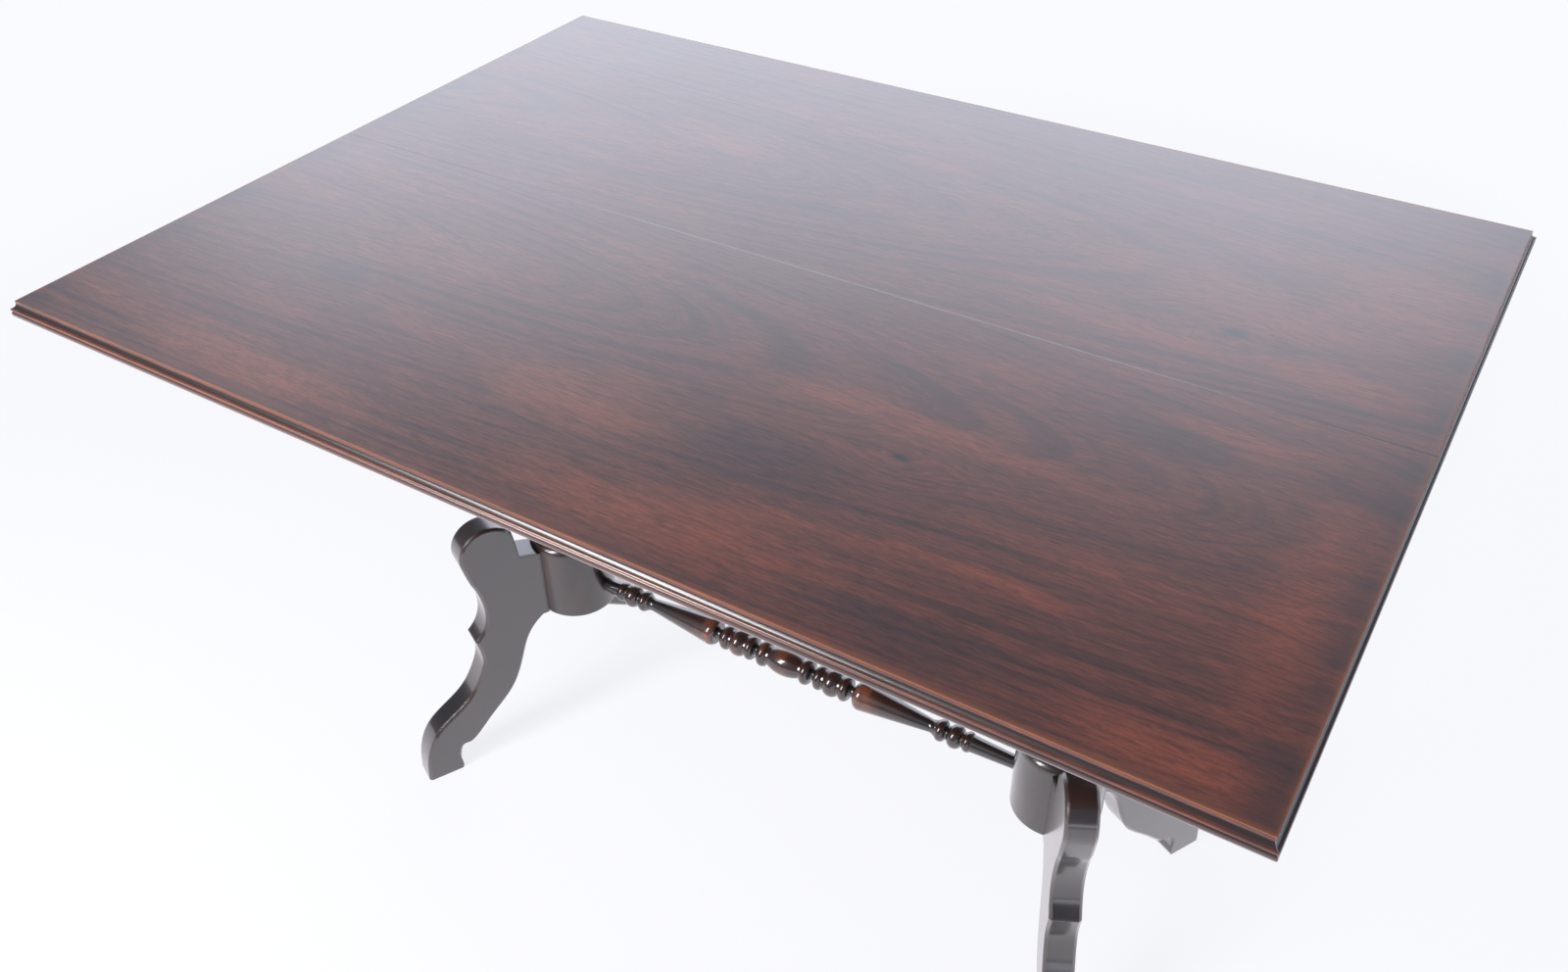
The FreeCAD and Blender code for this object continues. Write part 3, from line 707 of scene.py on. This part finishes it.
def stretcher_material():
    material, tree, shader, place = new_material("turned wood")
    _, y, z = split(tree, place)
    radius = distance(tree, minus(tree, z, stretcher_axis_height), y)
    figure = use(tree, wood_figure, Place=place, Pith_Start=-2.0, Pith_Side=0.05, Pith_Slope=0.03,
                 Ring_Width=0.003, Wander=0.02, Seed=8.0)
    colour = blend(tree, span(tree, radius, *taper_radius), ebony, taper_brown)
    rubbing = noise(tree, place, crown_rubbing_scale, detail=3.0, roughness=0.6)
    crown = times(tree, span(tree, radius, *crown_radius), span(tree, rubbing, *crown_rubbed))
    colour = blend(tree, crown, colour, crown_brown)
    colour = shaded(tree, colour, span(tree, figure["Fibre"], *stretcher_fibre))
    worn = use(tree, edge_wear, Place=place, Radius=0.001, Break_Up=80.0, Cover=0.5)
    fill(tree, shader["Base Color"], blend(tree, worn["Mask"], colour, worn_orange))
    polish = use(tree, hand_polish, Place=place, Fibre=figure["Fibre"], Pores=0.0, Smooth=0.28, Cloudy=0.08)
    fill(tree, shader["Roughness"], polish["Roughness"])
    shader["Coat Weight"].default_value = 1.0
    shader["Coat Roughness"].default_value = stretcher_coat_roughness
    shader["Coat IOR"].default_value = stretcher_gloss
    return material


dress(stretcher_material(), "stretcher")
print("stretcher axis at height", round(stretcher_axis_height, 4))

# %% [markdown]
# ## Frame timber, dowels and metal
# Under the top, the bearers, rails, battens and stops are plain oiled timber. A batten lies beside a
# bearer, so it gets a seed and a pith of its own: otherwise one figure would run through both pieces.

# %% Frame timber
timber_dark = (0.05, 0.025, 0.016, 1)
timber_light = (0.17, 0.085, 0.045, 1)
dowel_dark = (0.36, 0.22, 0.11, 1)
dowel_light = (0.55, 0.38, 0.22, 1)
timber_rings = (0.3, 0.7)
timber_fibre = (0.25, 0.75, 0.7, 1.25)
timber_pores = 0.6


def timber_material(name, order, dark, light, seed, pith_side):
    material, tree, shader, place = new_material(name)
    figure = use(tree, wood_figure, Place=turned(tree, place, order), Pith_Start=-2.0, Pith_Side=pith_side,
                 Pith_Slope=0.05, Ring_Width=0.004, Wander=0.03, Seed=seed)
    colour = blend(tree, span(tree, figure["Rings"], *timber_rings), dark, light)
    colour = shaded(tree, colour, span(tree, figure["Fibre"], *timber_fibre))
    fill(tree, shader["Base Color"], blend(tree, times(tree, figure["Pores"], timber_pores), colour, dark))
    polish = use(tree, hand_polish, Place=place, Fibre=figure["Fibre"], Pores=figure["Pores"], Smooth=0.45,
                 Cloudy=0.2)
    fill(tree, shader["Roughness"], polish["Roughness"])
    bump = put(tree, "Bump", {}, Height=polish["Height"], Strength=0.3, Distance=0.0003)
    fill(tree, shader["Normal"], bump.outputs[0])
    return material


rail_timber = timber_material("rail timber", "XYZ", timber_dark, timber_light, seed=2.0, pith_side=0.3)
bearer_timber = timber_material("bearer timber", "YXZ", timber_dark, timber_light, seed=6.0, pith_side=0.08)
batten_timber = timber_material("batten timber", "YXZ", timber_dark, timber_light, seed=14.0, pith_side=-0.05)
dowel_timber = timber_material("dowel timber", "YXZ", dowel_dark, dowel_light, seed=9.0, pith_side=0.3)
dress(rail_timber, "front_rail", "rear_rail", "left_flip_stop", "right_flip_stop")
dress(bearer_timber, "left_bearer", "right_bearer")
dress(batten_timber, "left_batten", "right_batten")
dress(dowel_timber, "board_dowels")
print("frame timber:", [made.name for made in (rail_timber, bearer_timber, batten_timber, dowel_timber)])

# %% [markdown]
# The bolts, plates and keepers are dulled brass, and the pins and long screws are dark iron. A stain of
# fine noise dulls both, and it wears off again along the edges.

# %% Metal
brass_bright = (0.62, 0.42, 0.15, 1)
brass_dull = (0.28, 0.18, 0.07, 1)
iron_bright = (0.3, 0.29, 0.28, 1)
iron_dull = (0.1, 0.085, 0.075, 1)
stain_scale = 70.0
stain_colour = (0.4, 0.7)
stain_roughness = (0.3, 0.75)
stain_rougher = 0.25


def metal_material(name, bright, dull, roughness):
    material, tree, shader, place = new_material(name)
    stain = noise(tree, place, stain_scale, detail=5.0, roughness=0.65)
    colour = blend(tree, span(tree, stain, *stain_colour), bright, dull)
    worn = use(tree, edge_wear, Place=place, Radius=0.0005, Break_Up=120.0, Cover=0.5)
    fill(tree, shader["Base Color"], blend(tree, worn["Mask"], colour, bright))
    rough = span(tree, stain, *stain_roughness, roughness, roughness + stain_rougher)
    fill(tree, shader["Roughness"], rough)
    shader["Metallic"].default_value = 1.0
    return material


brass = metal_material("dulled brass", brass_bright, brass_dull, roughness=0.22)
iron = metal_material("dark iron", iron_bright, iron_dull, roughness=0.35)
dress(brass, "left_bolt", "right_bolt", "left_bolt_plate", "right_bolt_plate", "left_keeper", "right_keeper",
      "plate_screws", "keeper_screws")
dress(iron, "batten_screws", "left_pivot_pin", "right_pivot_pin")
print("metal:", brass.name, "and", iron.name)

# %% [markdown]
# ## Floor and light
# The table stands on a white floor that runs out of the picture. To the camera a small share of the floor
# near the table is diffuse, which takes the soft shadows, and the rest glows just enough to be white. The
# share is smaller on the right, where the shadows are fainter. In reflections the whole floor glows, and
# it dims further out, as a studio floor does where its lamps end. Light that bounces meets a plain matt
# floor. Seen from below the floor lets the camera through, so that the underside can be looked at.

# %% Floor
floor_half = 9.0
floor = bpy.data.objects.new("floor", bpy.data.meshes.new("floor"))
corners = [(-floor_half, -floor_half, 0), (floor_half, -floor_half, 0), (floor_half, floor_half, 0),
           (-floor_half, floor_half, 0)]
floor.data.from_pydata(corners, [], [(0, 1, 2, 3)])
scene.collection.objects.link(floor)
print("floor:", 2 * floor_half, "m square")

# %% Floor material
floor_white = (0.96, 0.964, 1.0, 1)
mirrored_white = (0.96, 0.94, 1.0, 1)
floor_matt = (0.8, 0.8, 0.82, 1)
shade_near = (1.2, 2.4, 0.15, 0.0)
shade_right = (0.6, 0.25, 0.25, 1.0)
mirrored_dim = (1.8, 4.5, 0.0, 0.7)


def floor_material():
    material = bpy.data.materials.new("white floor")
    material.use_nodes = True
    tree = material.node_tree
    tree.nodes.remove(tree.nodes["Principled BSDF"])
    place = put(tree, "TexCoord").outputs["Object"]
    away = vector_calc(tree, "LENGTH", place)
    path = put(tree, "LightPath").outputs
    by_camera = path["Is Camera Ray"]
    shown = larger(tree, larger(tree, by_camera, path["Is Glossy Ray"]), path["Is Transmission Ray"])
    share = times(tree, span(tree, away, *shade_near), span(tree, split(tree, place)[0], *shade_right))
    share = times(tree, share, by_camera)
    dim = calc(tree, "SUBTRACT", span(tree, away, *mirrored_dim), by_camera, True)
    glow = put(tree, "Emission", {}, Color=blend(tree, by_camera, mirrored_white, floor_white),
               Strength=minus(tree, minus(tree, 1.0, share), dim))
    shadowed = put(tree, "BsdfDiffuse", {}, Color=vector(tree, share, share, share))
    matt = put(tree, "BsdfDiffuse", {}, Color=floor_matt)
    lit = put(tree, "AddShader")
    fill(tree, lit.inputs[0], shadowed.outputs[0])
    fill(tree, lit.inputs[1], glow.outputs[0])
    top_side = put(tree, "MixShader", {}, Fac=shown)
    fill(tree, top_side.inputs[1], matt.outputs[0])
    fill(tree, top_side.inputs[2], lit.outputs[0])
    both_sides = put(tree, "MixShader", {}, Fac=put(tree, "NewGeometry").outputs["Backfacing"])
    fill(tree, both_sides.inputs[1], top_side.outputs[0])
    fill(tree, both_sides.inputs[2], put(tree, "BsdfTransparent").outputs[0])
    fill(tree, tree.nodes["Material Output"].inputs["Surface"], both_sides.outputs[0])
    return material


floor.data.materials.append(floor_material())
print("floor material:", floor.data.materials[0].name)

# %% [markdown]
# The room is a studio with a white wall behind the table, a low pale wall on the right and dim sides. The
# top mirrors the low part of the wall behind, which gives it its sheen at the far end, and it stays dark
# near the camera, where it mirrors the ceiling. The wall's upper edge is soft and not quite level, so that
# the sheen ends where it should on each side. `to_right` runs from -1 on the left to 1 on the right.

# %% Light of the room
room_level = 0.16
wall_level = 2.24
front_level = 0.24
right_level = 1.5
room_tint = (0.83, 0.865, 1.0, 1)
wall_top_run = (-0.65, -0.2, 0.621, 0.664)
wall_top_left_drop = (-0.62, -0.8, 0.0, 0.015)
wall_top_right_drop = (-0.2, 0.0, 0.0, 0.035)
wall_foot_run = (-0.8, -0.66, 0.41, 0.44)
wall_brighter_run = (-0.6, -0.1, 1.0, 1.07)
wall_left_end = (-0.95, -0.78)
wall_right_end = (0.45, -0.25)
wall_behind = (0.0, 0.25)
front_half = (-0.1, -0.6)
right_side = (0.3, 0.5)
right_height = (0.2, 0.06)


def room_light(tree, direction):
    x, y, z = split(tree, direction)
    to_right = calc(tree, "DIVIDE", x, distance(tree, x, y))
    wall_top = minus(tree, span(tree, to_right, *wall_top_run), span(tree, to_right, *wall_top_left_drop))
    wall_top = minus(tree, wall_top, span(tree, to_right, *wall_top_right_drop))
    low = span(tree, z, span(tree, to_right, *wall_foot_run), wall_top, 1.0, 0.0)
    low = times(tree, low, span(tree, to_right, *wall_brighter_run))
    sides = times(tree, span(tree, to_right, *wall_left_end), span(tree, to_right, *wall_right_end))
    rear = times(tree, sides, span(tree, y, *wall_behind))
    wall = times(tree, times(tree, low, rear), wall_level - room_level)
    front = span(tree, y, *front_half, 0.0, front_level - room_level)
    right = times(tree, span(tree, x, *right_side), span(tree, z, *right_height))
    right = times(tree, right, right_level - room_level)
    return plus(tree, plus(tree, wall, front), plus(tree, right, room_level))


# %% [markdown]
# That light is for the table alone. To the camera the room is plain, and as white as the floor.

# %% World
def paint_world(tree):
    by_camera = put(tree, "LightPath").outputs["Is Camera Ray"]
    strength = room_light(tree, put(tree, "TexCoord").outputs["Generated"])
    strength = plus(tree, times(tree, strength, minus(tree, 1.0, by_camera)), by_camera)
    tint = blend(tree, by_camera, room_tint, floor_white)
    room = put(tree, "Background", {}, Color=tint, Strength=strength)
    fill(tree, put(tree, "OutputWorld").inputs["Surface"], room.outputs[0])


world = bpy.data.worlds.new("studio")
scene.world = world
world.use_nodes = True
world.node_tree.nodes.clear()
paint_world(world.node_tree)
print("world: room", room_level, "wall", wall_level)

# %% [markdown]
# A tall strip soft box to the front left puts the bright line in the moulding and the lights on the
# turnings. A larger low one in front gives the soft shadows that run back under the table. It is kept
# out of reflections, because a lamp that size would draw a grey band along the whole edge.

# %% Soft boxes
def soft_box(name, place, target, width, height, power, mirrored):
    lamp = bpy.data.lights.new(name, "AREA")
    lamp.shape = "RECTANGLE"
    lamp.size = width
    lamp.size_y = height
    lamp.energy = power
    box = bpy.data.objects.new(name, lamp)
    box.visible_glossy = mirrored
    box.location = place
    box.rotation_euler = (Vector(target) - Vector(place)).to_track_quat("-Z", "Y").to_euler()
    scene.collection.objects.link(box)
    print("soft box:", name, power, "W")


soft_box("strip soft box", place=(-1.06, -2.12, 1.93), target=(0.1, -0.4, 0.73), width=0.6, height=1.7,
         power=44.0, mirrored=True)
soft_box("wide soft box", place=(-0.89, -2.44, 1.6), target=(0, 0, 0.3), width=1.1, height=1.1,
         power=66.0, mirrored=False)

# %% [markdown]
# ## Finish
# Colours are shown with the Standard view.

# %% Finish
scene.view_settings.view_transform = "Standard"
bpy.context.view_layer.update()
